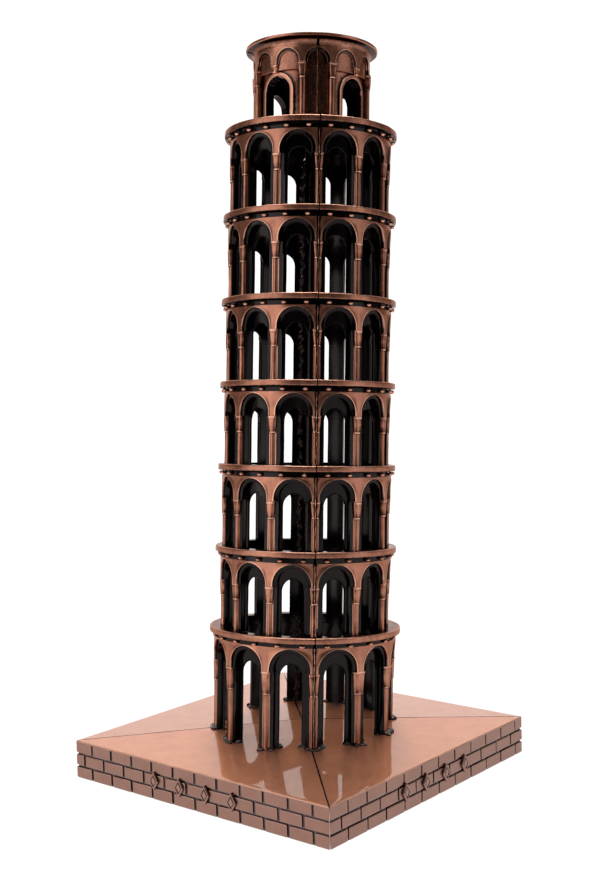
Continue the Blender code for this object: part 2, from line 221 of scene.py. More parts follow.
def wander(points, amount, scale, seed):
    """Small uneven shifts, the way a cast and polished surface has them."""
    shift = Vector((seed * 13.7, seed * 5.1, seed * 9.3))
    out = np.empty_like(points)
    for i, point in enumerate(points):
        step = noise.noise_vector(Vector(point) / scale + shift)
        out[i] = point + np.array(step) * amount
    return out


def tower_place(k, lift, push):
    """From the upright frame of the quarter that faces +X to the leaning tower."""
    turn = Matrix.Rotation(k * QUARTER, 4, "Z")
    return np.array(TOWER @ turn @ Matrix.Translation((push, 0, lift)))


def transformed(points, matrix):
    """Points moved by a 4 x 4 matrix."""
    return points @ matrix[:3, :3].T + matrix[:3, 3]


# ---- arcade bays ----
JAMB_STEPS = 6
ARCH_STEPS = 28
CORNER_STEP = 6  # arch steps from the springing to the panel's corner
CORNER_A = JAMB_STEPS + CORNER_STEP
CORNER_B = JAMB_STEPS + ARCH_STEPS - CORNER_STEP


def jamb_heights(foot_z, spring_z, step_z):
    """Heights up a jamb, with two close together at the capitals' top."""
    if step_z is None:
        return np.linspace(foot_z, spring_z, JAMB_STEPS + 1)
    rise = list(np.linspace(foot_z, step_z - 0.01 * MM, JAMB_STEPS - 1))
    return np.array(rise + [step_z + 0.01 * MM, spring_z])


def arch_path(radius, crown_z, foot_z, step_z=None):
    """Across and up values along a round-headed outline, left foot to right foot."""
    spring_z = crown_z - radius
    rise = jamb_heights(foot_z, spring_z, step_z)
    turn = np.linspace(pi, 0, ARCH_STEPS + 1)[1:-1]
    across = np.concatenate([np.full(JAMB_STEPS + 1, -radius), radius * np.cos(turn),
                             np.full(JAMB_STEPS + 1, radius)])
    up = np.concatenate([rise, spring_z + radius * np.sin(turn), rise[::-1]])
    return across, up


def panel_path(half, spring_z, foot_z, top_z, step_z=None):
    """The panel's border, point for point beside arch_path: side, top, side."""
    rise = jamb_heights(foot_z, spring_z, step_z)
    side = np.linspace(spring_z, top_z, CORNER_STEP + 1)[1:]
    top_steps = ARCH_STEPS - 2 * CORNER_STEP
    top = np.linspace(-half, half, top_steps + 1)[1:-1]
    across = np.concatenate([np.full(JAMB_STEPS + 1 + CORNER_STEP, -half), top,
                             np.full(JAMB_STEPS + 1 + CORNER_STEP, half)])
    up = np.concatenate([rise, side, np.full(len(top), top_z), side[::-1], rise[::-1]])
    return across, up


def on_cylinder(across, up, face_r, depth, angle):
    """Wrap flat (across, up) points round the tower at `depth` from the face."""
    theta = angle + np.asarray(across) / face_r
    radius = face_r + depth
    return np.stack([radius * np.cos(theta), radius * np.sin(theta), up], axis=1)


def add_panel(casting, angle, face_r, half, foot_z, top_z, steps, ends, step_z=None,
              tint=None):
    """One bay: a face panel, the stepped arch mouldings and the back, all closed.

    `steps` lists (radius, crown, depth, patina, edge) from the face inwards, `ends` says
    which vertical sides are outer ends that need closing, the face stands back below
    `step_z`, and `tint` gives the face's patina from the angle and the height.
    """
    first_r, first_crown = steps[0][0], steps[0][1]
    spring_z = first_crown - first_r

    def face_row(path, depth, patina, edge):
        across, up = path
        if step_z is not None:
            depth = np.where(up < step_z, np.minimum(depth, PIER_SET_BACK), depth)
        if tint is not None:
            patina = np.maximum(patina, tint(angle + across / face_r, up))
        return casting.row(on_cylinder(across, up, face_r, depth, angle), patina, edge)

    flat = panel_path(half, spring_z, foot_z, top_z, step_z)
    rows = [face_row(flat, steps[0][2], 0.0, 0.0)]
    near = arch_path(first_r, first_crown, foot_z, step_z)
    spread = max(2, round((half - first_r) / (0.6 * MM)))
    for i in range(1, spread):
        share = i / spread
        mid = [flat[a] * (1 - share) + near[a] * share for a in range(2)]
        rows.append(face_row(mid, steps[0][2], 0.0, 0.0))
    for radius, crown, depth, patina, edge in steps:
        rows.append(face_row(arch_path(radius, crown, foot_z, step_z), depth, patina, edge))
    back_depth = steps[-1][2]
    last_r, last_crown = steps[-1][0], steps[-1][1]
    near = arch_path(last_r, last_crown, foot_z, step_z)
    for i in range(1, spread + 1):
        share = i / spread
        mid = [near[a] * (1 - share) + flat[a] * share for a in range(2)]
        rows.append(casting.row(on_cylinder(*mid, face_r, back_depth, angle), 1.0, 0.0))
    casting.loft(rows)
    front, back = rows[0], rows[-1]
    casting.loft([back[CORNER_A:CORNER_B + 1], front[CORNER_A:CORNER_B + 1]])
    casting.cap([row[0] for row in rows])
    casting.cap([row[-1] for row in rows])
    if "left" in ends:
        casting.loft([back[:CORNER_A + 1], front[:CORNER_A + 1]])
    if "right" in ends:
        casting.loft([back[CORNER_B:], front[CORNER_B:]])


def moulding_steps(arch_r, crown, window_crown):
    """Section through an arcade arch: two stepped orders, a wall and a window."""
    steps = []
    # Edge values paint the outer arch and window edges bright, part wear and part painted
    # highlight.
    for inset, depth, patina, edge in (
            (-0.06, 0.0, 0.0, 0.2), (-0.01, 0.03, 0.0, 1.0), (0.16, 0.03, 0.0, 1.0),
            (0.22, -0.06, 0.5, 0.6), (0.26, -0.55, 1.0, 0.0), (0.78, -0.66, 1.0, 0.0),
            (0.90, -0.68, 0.9, 0.1), (0.98, -0.64, 0.7, 0.3), (1.08, -0.68, 0.85, 0.15),
            (1.12, -0.85, 1.0, 0.0), (1.16, -2.05, 1.0, 0.0)):
        radius = arch_r - inset * MM
        steps.append((radius, crown - inset * MM, depth * MM, patina, edge))
    for inset, depth, patina, edge in (
            (-0.16, 0.02, 1.0, 0.0), (-0.1, 0.06, 0.85, 0.1), (-0.02, 0.06, 0.8, 0.2),
            (0.02, 0.0, 0.9, 0.1), (0.05, -0.3, 1.0, 0.0)):
        radius = WINDOW_R - inset * MM
        steps.append((radius, window_crown - inset * MM, WINDOW_DEPTH + depth * MM, patina,
                      edge))
    inner = WINDOW_R - 0.1 * MM
    steps.append((inner, window_crown - 0.1 * MM, 0.1 * MM - WALL_T, 1.0, 0.0))
    steps.append((WINDOW_R, window_crown, -WALL_T, 1.0, 0.0))
    return steps


def seam_stain(angle, up):
    """Patina from the dirt that gathers along the quarter's two edges."""
    from_edge = (QUARTER / 2 - np.abs(angle)) * 40.0
    return np.clip(1.25 - from_edge, 0, 1) * (0.75 + 0.25 * np.sin(up / MM * 1.9))


def add_storey_wall(casting, face_r, foot_z, top_z, arch_drop=ARCH_DROP):
    """Three open bays of one storey, welded along their borders."""
    half = face_r * BAY / 2
    steps = moulding_steps(ARCH_SHARE * face_r, top_z - arch_drop, top_z - WINDOW_DROP)
    panel_top = top_z - arch_drop + 0.18 * MM
    for angle, ends in ((-BAY, ["left"]), (0.0, []), (BAY, ["right"])):
        add_panel(casting, angle, face_r, half, foot_z, panel_top, steps, ends,
                  top_z - CAPITAL_DROP, seam_stain)


# ---- ledges, beads, columns ----
def add_ring(casting, profile, steps=24):
    """Closed outline of (radius, height, patina, edge) swept over the quarter."""
    rows = []
    for i in range(steps + 1):
        angle = -QUARTER / 2 + QUARTER * i / steps
        points = [polar(p[0], angle, p[1]) for p in profile]
        rows.append(casting.row(points, [p[2] for p in profile], [p[3] for p in profile]))
    casting.solid(rows)


def ledge_profile(ledge_r, face_r, next_r, top_z, inner_r, cove_drop=COVE_DROP):
    """Plain rim over a cove, down to the arcade face; the cove and the rim's underside are painted
    dark, patina and painted shade under the rim, and the rim's top edge is painted bright, part
    wear and part painted highlight.
    """
    inner_r += 0.4 * MM
    cove_r = face_r - 0.28 * MM
    outline = []
    for radius, down in ((inner_r, cove_drop + 0.2 * MM), (cove_r, cove_drop + 0.2 * MM),
                         (cove_r, cove_drop - 0.06 * MM), (cove_r, RIM_T + 0.22 * MM),
                         (face_r - 0.06 * MM, RIM_T + 0.04 * MM)):
        outline.append((radius, top_z - down, 1.0, 0.0))
    # Rim rows: patina rising towards the underside is painted shade; the edge values near the top
    # are a painted highlight line, partly wear.
    for inward, down, patina, edge in (
            (0.42, 1.46, 1.0, 0.0), (0.16, 1.44, 0.9, 0.0), (0.05, 1.38, 0.75, 0.0),
            (0.0, 1.24, 0.35, 0.0), (0.0, 1.0, 0.12, 0.1), (0.0, 0.62, 0.1, 0.1),
            (0.0, 0.3, 0.05, 0.2), (0.03, 0.15, 0.0, 0.9), (0.12, 0.04, 0.0, 1.0),
            (0.26, 0.0, 0.0, 0.9), (0.55, 0.0, 0.2, 0.1)):
        outline.append((ledge_r - inward * MM, top_z - down * MM, patina, edge))
    for radius, patina in ((next_r + 0.2 * MM, 0.8), (next_r - 0.6 * MM, 1.0), (inner_r, 1.0)):
        outline.append((radius, top_z, patina, 0.0))
    return outline


def add_lump(casting, center, radii, turn, edge, around=10, stack=6):
    """Rounded bead at a tower point, turned to face outwards."""
    rows = []
    for i in range(1, stack):
        tilt = pi * i / stack
        ring = [(radii[0] * sin(tilt) * cos(a), radii[1] * sin(tilt) * sin(a),
                 radii[2] * cos(tilt)) for a in np.arange(around) * 2 * pi / around]
        rows.append(casting.row(turned(np.array(ring), turn) + center, 0.0, edge))
    casting.solid(rows)


def add_ledge_beads(casting, face_r, top_z, bulk=1.0):
    """Two small rounded brackets under the ledge in each bay."""
    for i in range(6):
        angle = -QUARTER / 2 + BAY * (0.25 + 0.5 * i)
        center = polar(face_r + 0.22 * MM * bulk, angle, top_z - BEAD_DROP)
        # The edge value paints the whole bead light: part wear, part painted highlight.
        add_lump(casting, center, (0.62 * MM * bulk, 0.62 * MM, 0.46 * MM), angle, 0.75)


def rounded_ring(center_r, half_depth, half_width, z, power, count=20):
    """Closed loop between a square (high power) and an ellipse (power 2)."""
    points = []
    for i in range(count):
        a = 2 * pi * (i + 0.5) / count
        c, s = cos(a), sin(a)
        x = half_depth * abs(c) ** (2 / power) * (1 if c > 0 else -1)
        y = half_width * abs(s) ** (2 / power) * (1 if s > 0 else -1)
        points.append((center_r + x, y, z))
    return np.array(points)


def column_rows(face_r, capital_z, foot_z, capital_h, widths):
    """Loops of (points, patina, edge) up a column: shaft, astragal, capital, abacus."""
    top_w, foot_w, shaft_w = widths
    low_z = capital_z - capital_h * MM
    mid_w = foot_w + 0.55 * (top_w - foot_w)
    rows = []
    for z, width, square, set_back, patina, edge in (
            (foot_z, shaft_w * 1.1, 2.0, 0.16, 0.3, 0.1),
            (foot_z + 0.5 * MM, shaft_w * 1.06, 2.0, 0.18, 0.05, 0.4),
            (foot_z + 0.7 * MM, shaft_w, 2.0, 0.2, 0.15, 0.2),
            ((foot_z + low_z) / 2, shaft_w * 0.98, 2.0, 0.22, 0.0, 0.35),
            (low_z - 0.3 * MM, shaft_w, 2.0, 0.2, 0.2, 0.1),
            # Patina 0.7 just below the capital paints the shadow that the capital casts on the
            # shaft.
            (low_z - 0.03 * MM, shaft_w, 2.0, 0.2, 0.7, 0.0),
            (low_z + 0.02 * MM, foot_w * 0.98, 2.6, 0.1, 0.2, 0.9),
            (low_z + 0.28 * MM, foot_w, 2.8, 0.04, 0.0, 0.9),
            (low_z + 0.36 * MM, foot_w * 0.96, 3.0, 0.08, 0.4, 0.1),
            (low_z + 0.5 * capital_h * MM, mid_w, 3.6, -0.01, 0.0, 0.35),
            (capital_z - 0.62 * MM, top_w * 0.95, 4.4, -0.03, 0.0, 0.4),
            (capital_z - 0.54 * MM, top_w * 0.93, 5.0, 0.0, 0.35, 0.0),
            (capital_z - 0.46 * MM, top_w * 0.99, 6.0, -0.05, 0.0, 0.8),
            (capital_z - 0.07 * MM, top_w, 7.0, -0.05, 0.0, 0.9),
            (capital_z, top_w * 0.97, 7.0, -0.02, 0.0, 1.0)):
        depth = width * MM * (0.5 if square < 2.5 else 0.46)
        center = face_r - set_back * MM - depth
        rows.append((rounded_ring(center, depth, width * MM / 2, z, square), patina, edge))
    return rows


def add_column(casting, angle, face_r, capital_z, foot_z, capital_h, widths, first_row=0):
    """A column, halved where it stands on a seam; a corbel leaves out the lower rows."""
    rows = []
    made = column_rows(face_r, capital_z, foot_z, capital_h, widths)
    for points, patina, edge in made[first_row:]:
        points = turned(points, angle)
        around = np.arctan2(points[:, 1], points[:, 0])
        if abs(angle) > QUARTER / 2 - 0.01:
            points = clamp_to_quarter(points, 0.0)
            patina = np.maximum(patina, 0.9 * (np.abs(around) > QUARTER / 2 - 0.006))
        rows.append(casting.row(points, patina, edge))
    casting.solid(rows)


def add_columns(casting, face_r, capital_z, foot_z, capital_h, widths, seam_widths, seed):
    """The quarter's two whole columns and its halves of the two on the seams."""
    for i in range(4):
        angle = -QUARTER / 2 + i * BAY
        shift = 0.1 * MM * sin(seed * 7.3 + i * 2.9)
        sizes = seam_widths if i in (0, 3) else widths
        add_column(casting, angle, face_r, capital_z + shift, foot_z, capital_h, sizes)


def clamp_to_quarter(points, gap):
    """Cut points back to a plane that stands `gap` inside each end of the quarter."""
    angle = np.arctan2(points[:, 1], points[:, 0])
    radius = np.hypot(points[:, 0], points[:, 1])
    limit = QUARTER / 2 - np.arcsin(np.clip(gap / radius, -1, 1))
    angle = np.sign(angle) * np.minimum(np.abs(angle), limit)
    return np.stack([radius * np.cos(angle), radius * np.sin(angle), points[:, 2]], axis=1)


def trim_seams(casting, points):
    """Open the seams, narrower through the rims and shut inside, but spare the flash."""
    radius = np.hypot(points[:, 0], points[:, 1]) / MM
    z = points[:, 2] / MM
    face = np.interp(z, LEDGE_Z + [LEDGE_Z[-1] + 0.01], FACE_R + [BELFRY_FACE_R / MM])
    gap = SEAM * (1 + 0.16 * np.sin(z * 1.3) * np.sin(z * 2.9))
    rim_gap = np.where(z > LEDGE_Z[-1] + 0.5, 0.45 * RIM_SEAM, RIM_SEAM)
    gap = np.where(radius > face + 0.35, rim_gap, gap)
    gap = np.where(radius < face - 1.1, 0.02 * MM, gap)
    out = clamp_to_quarter(points, gap)
    for first, last in casting.free:
        out[first:last] = points[first:last]
    return out


def add_flash(casting, face_r, foot_z, capital_z, top_z, k):
    """Thin uneven fin of metal squeezed out along the seam."""
    first = len(casting.points)
    rows = []
    for i, z in enumerate(np.arange(foot_z, top_z, 0.55 * MM)):
        wave = sin(i * 1.7 + k) * sin(i * 0.61 + 2 * k)
        front = face_r - (0.22 if z > capital_z else 0.42) * MM + 0.09 * MM * wave
        half = (0.13 + 0.035 * sin(i * 2.3 + k)) * MM
        side = 0.04 * MM * sin(i * 0.9 + k)
        root, shoulder = front - 1.3 * MM, front - 0.1 * MM
        ring = [(x, y + side, z) for x, y in (
            (root, -half), (shoulder, -half), (front, -half / 2), (front, half / 2),
            (shoulder, half), (root, half))]
        # The edge values paint the fin's front as a light line: part wear, part painted highlight.
        rows.append(casting.row(turned(np.array(ring), QUARTER / 2),
                                [1.0, 0.4, 0.0, 0.0, 0.4, 1.0],
                                [0.0, 0.3, 0.9, 0.9, 0.3, 0.0]))
    casting.solid(rows)
    casting.free.append((first, len(casting.points)))


# ---- materials ----
def node(tree, kind, **values):
    """A new shader node with the given settings."""
    made = tree.nodes.new(kind)
    for key, value in values.items():
        setattr(made, key, value)
    return made


def set_inputs(made, **values):
    """Set a node's inputs by name, with an underscore for each space."""
    for key, value in values.items():
        made.inputs[key.replace("_", " ")].default_value = value


def ramp(tree, source, low, high):
    """0 at `low`, 1 at `high`, straight between and held outside."""
    made = node(tree, "ShaderNodeMapRange")
    set_inputs(made, From_Min=low, From_Max=high)
    tree.links.new(source, made.inputs["Value"])
    return made.outputs["Result"]


def blend(tree, share, first, second):
    """Colour mix; first and second are colours or sockets."""
    made = node(tree, "ShaderNodeMix", data_type="RGBA")
    tree.links.new(share, made.inputs["Factor"])
    for socket, value in ((made.inputs[6], first), (made.inputs[7], second)):
        if isinstance(value, tuple):
            socket.default_value = (*value, 1.0)
        else:
            tree.links.new(value, socket)
    return made.outputs[2]


def math_node(tree, operation, first, second):
    """Arithmetic on two sockets or numbers."""
    made = node(tree, "ShaderNodeMath", operation=operation)
    for socket, value in zip(made.inputs, (first, second)):
        if isinstance(value, (int, float)):
            socket.default_value = value
        else:
            tree.links.new(value, socket)
    return made.outputs[0]


def speckle(tree, coords, scale, detail=4.0, stretch=(1, 1, 1)):
    """Fine noise around one half."""
    mapping = node(tree, "ShaderNodeMapping")
    set_inputs(mapping, Scale=stretch)
    tree.links.new(coords, mapping.inputs["Vector"])
    made = node(tree, "ShaderNodeTexNoise")
    set_inputs(made, Scale=scale, Detail=detail, Roughness=0.6)
    tree.links.new(mapping.outputs[0], made.inputs["Vector"])
    return made.outputs["Fac"]


def new_material(name):
    """A material with its tree, its shader and the object's coordinates."""
    mat = bpy.data.materials.new(name)
    mat.use_nodes = True
    tree = mat.node_tree
    coords = node(tree, "ShaderNodeTexCoord").outputs["Object"]
    return mat, tree, tree.nodes["Principled BSDF"], coords


def add_bump(tree, shader, height, strength, distance):
    """Fine relief from a height value."""
    bump = node(tree, "ShaderNodeBump")
    set_inputs(bump, Strength=strength, Distance=distance)
    tree.links.new(height, bump.inputs["Height"])
    tree.links.new(bump.outputs["Normal"], shader.inputs["Normal"])


def painted_side_shade(tree, coords, shade, side_shade_tone):
    """Painted shade: multiply the colour by the side shade tone below the base's top edge, so the
    sides come out darker than the top.
    """
    height = node(tree, "ShaderNodeSeparateXYZ")
    tree.links.new(coords, height.inputs[0])
    upper = ramp(tree, height.outputs["Z"], BASE_HEIGHT - 0.35 * MM, BASE_HEIGHT - 0.05 * MM)
    tone = blend(tree, upper, side_shade_tone, (1.0, 1.0, 1.0))
    made = node(tree, "ShaderNodeMix", data_type="RGBA", blend_type="MULTIPLY")
    made.inputs["Factor"].default_value = 1.0
    tree.links.new(shade, made.inputs[6])
    tree.links.new(tone, made.inputs[7])
    return made.outputs[2]


def copper(name, bright, mid, worn_and_highlight, dark, rough, relief, lacquer, side_shade_tone=None):
    """Lacquered plated copper: dark patina in hollows, bright along edges.

    The patina value also paints shade under rims, coves and capitals, the bright edges are part
    wear and part painted highlight, and the base's sides get painted shade.
    `lacquer` is the clear coat's weight and roughness.
    """
    mat, tree, shader, coords = new_material(name)
    patina = node(tree, "ShaderNodeAttribute", attribute_name="patina").outputs["Fac"]
    edge = node(tree, "ShaderNodeAttribute", attribute_name="edge").outputs["Fac"]

    cloud = speckle(tree, coords, 210.0, 3.0)
    grain = speckle(tree, coords, 1500.0, 5.0)
    streak = speckle(tree, coords, 900.0, 3.0, (1, 1, 0.12))
    tone = math_node(tree, "ADD", math_node(tree, "MULTIPLY", cloud, 0.6),
                     math_node(tree, "MULTIPLY", streak, 0.4))
    body = blend(tree, ramp(tree, tone, 0.36, 0.66), mid, bright)
    # The patina value, broken by grain, darkens the colour: patina in hollows, and painted shade
    # under rims, coves and capitals.
    broken = math_node(tree, "ADD", patina, math_node(
        tree, "MULTIPLY", math_node(tree, "SUBTRACT", grain, 0.5), 0.7))
    darkening = ramp(tree, broken, 0.22, 0.72)
    shade = blend(tree, darkening, body, dark)
    # Painted highlight along edges, partly wear: the edge value lightens the colour towards the
    # light edge tone.
    rubbed_and_highlit = math_node(tree, "MULTIPLY", ramp(tree, math_node(
        tree, "MULTIPLY", edge, math_node(tree, "ADD", grain, 0.35)), 0.25, 0.85), 0.85)
    shade = blend(tree, rubbed_and_highlit, shade, worn_and_highlight)
    # Painted shade: the base's sides are darkened below its top edge.
    if side_shade_tone is not None:
        shade = painted_side_shade(tree, coords, shade, side_shade_tone)
    tree.links.new(shade, shader.inputs["Base Color"])

    set_inputs(shader, Metallic=1.0, Specular_Tint=(0.5, 0.34, 0.28, 1.0),
               Coat_Weight=lacquer[0], Coat_Roughness=lacquer[1])
    gloss = math_node(tree, "ADD", rough, math_node(
        tree, "MULTIPLY", math_node(tree, "SUBTRACT", streak, 0.5), 0.22))
    gloss = math_node(tree, "SUBTRACT", gloss, math_node(tree, "MULTIPLY", darkening, rough * 0.45))
    tree.links.new(gloss, shader.inputs["Roughness"])

    mixed = math_node(tree, "ADD", math_node(tree, "MULTIPLY", cloud, 1.4), grain)
    add_bump(tree, shader, mixed, relief, 0.05 * MM)
    return mat


def solder_material():
    """Dark glossy plated solder with copper glints."""
    mat, tree, shader, coords = new_material("solder")
    cloud = speckle(tree, coords, 500.0, 3.0)
    grain = speckle(tree, coords, 2200.0, 4.0)
    shade = blend(tree, ramp(tree, cloud, 0.4, 0.75), (0.014, 0.008, 0.008), (0.12, 0.06, 0.045))
    tree.links.new(shade, shader.inputs["Base Color"])
    tree.links.new(ramp(tree, cloud, 0.35, 0.7), shader.inputs["Metallic"])
    tree.links.new(math_node(tree, "ADD", 0.06, math_node(tree, "MULTIPLY", grain, 0.2)),
                   shader.inputs["Roughness"])
    add_bump(tree, shader, cloud, 0.4, 0.08 * MM)
    return mat


# The light edge colour of each copper is part wear, part painted highlight.
TOWER_COPPER = copper("antique_copper", bright=(0.46, 0.19, 0.115), mid=(0.25, 0.092, 0.058),
                      worn_and_highlight=(0.74, 0.38, 0.26), dark=(0.006, 0.003, 0.003), rough=0.33,
                      relief=0.45, lacquer=(0.3, 0.12))
# The side tone below paints shade on the base's sides, darker than its top.
BASE_COPPER = copper("polished_copper", bright=(0.68, 0.31, 0.185), mid=(0.58, 0.25, 0.145),
                     worn_and_highlight=(0.76, 0.42, 0.29), dark=(0.13, 0.055, 0.042), rough=0.47,
                     relief=0.03, lacquer=(1.0, 0.035), side_shade_tone=(0.44, 0.45, 0.52))
SOLDER = solder_material()


# ---- tower pieces ----
def surface_z(x, y):
    """Height of the base's pyramid top."""
    return APEX_Z - SLOPE * np.maximum(np.abs(x), np.abs(y))


def casting_offset(k, spread):
    """The quarters don't line up exactly: each sits a touch high or low, in or out."""
    return spread * MM * sin(k * 2.1 + 0.6), -0.4 * spread * MM * (1 + cos(k * 1.7)) / 2


def ground_storey(k):
    """Quarter k of the ground storey, standing on the base's slope."""
    casting = Casting()
    face_r, ledge_r, top_z = FACE_R[0] * MM, LEDGE_R[0] * MM, LEDGE_Z[0] * MM
    capital_z = top_z - CAPITAL_DROP
    add_storey_wall(casting, face_r, GROUND_FOOT_Z, top_z, GROUND_ARCH_DROP)
    add_ring(casting, ledge_profile(ledge_r, face_r, FACE_R[1] * MM, top_z, bore_radius(top_z),
                                    GROUND_COVE_DROP))
    add_ledge_beads(casting, face_r, top_z, 0.7)
    add_columns(casting, face_r, capital_z, GROUND_FOOT_Z, GROUND_CAPITAL_H,
                GROUND_COLUMN[k % 2], GROUND_SEAM_COLUMN, k)
    add_flash(casting, face_r, GROUND_FOOT_Z, capital_z, top_z - 2.5 * MM, k)
    lift, push = casting_offset(k, 0.06)

    def shape(points):
        points = trim_seams(casting, wander(points, 0.05 * MM, 2.4 * MM, k))
        points = transformed(points, tower_place(k, lift, push))
        floor = surface_z(points[:, 0], points[:, 1]) - 0.5 * MM
        points[:, 2] = np.maximum(points[:, 2], floor)
        return points

    casting.piece(f"ground_casting_{SIDES[k]}", TOWER_COPPER,
                  [f"ground_storey_{SIDES[k]}"], shape)


def galleries(k):
    """Quarter k of the six open galleries, one tall casting."""
    casting = Casting()
    for i in range(1, STOREYS):
        face_r, ledge_r = FACE_R[i] * MM, LEDGE_R[i] * MM
        floor_z, top_z = LEDGE_Z[i - 1] * MM, LEDGE_Z[i] * MM
        capital_z = top_z - CAPITAL_DROP
        add_storey_wall(casting, face_r, floor_z - 0.03 * MM, top_z)
        inner_r = bore_radius(top_z) if i < STOREYS - 1 else BELFRY_BORE_R
        next_r = FACE_R[i + 1] * MM if i < STOREYS - 1 else BELFRY_FACE_R
        add_ring(casting, ledge_profile(ledge_r, face_r, next_r, top_z, inner_r))
        add_ledge_beads(casting, face_r, top_z)
        add_columns(casting, face_r, capital_z, floor_z - 0.05 * MM, CAPITAL_H, COLUMN,
                    SEAM_COLUMN, k + i)
        add_flash(casting, face_r, floor_z, capital_z, top_z - 2.7 * MM, k + i)
    lift, push = casting_offset(k, 0.08)

    def shape(points):
        points = trim_seams(casting, wander(points, 0.045 * MM, 2.4 * MM, k + 10))
        return transformed(points, tower_place(k, lift, push))

    casting.piece(f"gallery_casting_{SIDES[k]}", TOWER_COPPER,
                  [f"galleries_{SIDES[k]}"], shape)


def belfry_screen_steps():
    """Section through a belfry arch, down to the wall behind the arcade."""
    crown = BELFRY_TOP - BELFRY_ARCH_DROP
    steps = []
    for inset, depth, patina, edge in (
            (-0.14, 0.0, 0.0, 0.1), (-0.02, 0.02, 0.0, 0.9), (0.1, 0.0, 0.1, 0.9),
            (0.14, -0.35, 1.0, 0.0), (0.5, -0.45, 1.0, 0.0), (0.58, -0.42, 0.5, 0.5),
            (0.7, -0.42, 0.3, 0.8), (0.76, -0.6, 1.0, 0.0), (0.8, -1.65, 1.0, 0.0)):
        steps.append((BELFRY_ARCH_R - inset * MM, crown - inset * MM, depth * MM, patina,
                      edge))
    return steps


def add_half_panel(casting, angle, half, foot_z, top_z, steps, side):
    """Half a belfry bay beside a seam: its later half for side +1, else the earlier."""
    whole = Casting()
    add_panel(whole, angle, BELFRY_FACE_R, half, foot_z, top_z, steps, ["left", "right"])
    count = 2 * JAMB_STEPS + ARCH_STEPS + 1
    middle = count // 2
    keep = range(middle, count) if side > 0 else range(0, middle + 1)
    made = []
    for first in range(0, len(whole.points), count):
        made.append(casting.row([whole.points[first + i] for i in keep],
                                [whole.patina[first + i] for i in keep],
                                [whole.edge[first + i] for i in keep]))
    casting.loft(made)
    casting.cap([row[0] for row in made])
    casting.cap([row[-1] for row in made])
    casting.loft([made[-1], made[0]])


def add_slab(casting, low_r, high_r, low_z, high_z, reach):
    """Curved slab centred on the quarter, lit on its outer face."""
    rows = []
    for angle in np.linspace(-reach, reach, 15):
        ring = [polar(low_r, angle, low_z), polar(high_r - 0.08 * MM, angle, low_z),
                polar(high_r, angle, low_z + 0.1 * MM), polar(high_r, angle, high_z),
                polar(low_r, angle, high_z)]
        rows.append(casting.row(ring, [1.0, 0.4, 0.28, 0.34, 1.0], 0.0))
    casting.solid(rows)


def blind_stain(angle, up):
    """Patina of the belfry wall, darker away from the doorway."""
    return 0.2 + 0.28 * np.clip((np.abs(angle) - radians(21.0)) / radians(4.0), 0, 1)


def add_arcade(casting):
    """The belfry's blind arcade: two whole bays and the halves of two more."""
    half = BELFRY_FACE_R * BAY / 2
    steps = belfry_screen_steps()
    for angle, side in ((-BAY / 2, "left"), (BAY / 2, "right")):
        add_panel(casting, angle, BELFRY_FACE_R, half, BELFRY_CAPITAL_Z, BAND_TOP, steps,
                  [side], tint=seam_stain)
    for side in (1, -1):
        add_half_panel(casting, -1.5 * BAY * side, half, BELFRY_CAPITAL_Z, BAND_TOP, steps,
                       side)


def add_doorway(casting, foot_z):
    """The wall behind the arcade, with a framed door and a thicker panel over it."""
    crown = BELFRY_TOP - DOOR_DROP
    door = []
    for grow, depth, patina, edge in (
            (0.98, 0.0, 0.9, 0.0), (0.92, 0.4, 0.4, 0.5), (0.82, 0.48, 0.2, 0.8),
            (0.15, 0.48, 0.2, 0.3), (0.05, 0.42, 0.2, 1.0), (0.0, 0.2, 0.6, 0.4),
            (-0.02, -0.2, 1.0, 0.0)):
        door.append((DOOR_R + grow * MM, crown + grow * MM, depth * MM, patina, edge))
    door.append((DOOR_R - 0.05 * MM, crown - 0.05 * MM, BELFRY_BORE_R - BELFRY_WALL_R, 1.0,
                 0.2))
    add_panel(casting, 0.0, BELFRY_WALL_R, BELFRY_WALL_R * QUARTER / 2, foot_z, BAND_TOP,
              door, ["left", "right"], tint=blind_stain)
    add_slab(casting, BELFRY_WALL_R - 0.3 * MM, BELFRY_FACE_R - 0.7 * MM,
             BELFRY_TOP - LINTEL_DROP, BAND_TOP, radians(28.0))


def add_belfry_columns(casting, foot_z):
    """Two columns with the piers behind them, and a corbel over the door."""
    for angle in (-BAY, BAY):
        add_column(casting, angle, BELFRY_FACE_R + 0.3 * MM, BELFRY_CAPITAL_Z, foot_z,
                   BELFRY_CAPITAL_H, BELFRY_COLUMN)
        pier = []
        for z in (foot_z, (foot_z + BELFRY_CAPITAL_Z) / 2, BELFRY_CAPITAL_Z + 0.2 * MM):
            ring = rounded_ring(BELFRY_FACE_R - 1.4 * MM, 0.7 * MM, 0.5 * MM, z, 8.0)
            pier.append(casting.row(turned(ring, angle), 0.9, 0.0))
        casting.solid(pier)
    add_column(casting, 0.0, BELFRY_FACE_R - 0.05 * MM, BELFRY_CAPITAL_Z, foot_z, CORBEL_H,
               CORBEL, CORBEL_FIRST_ROW)


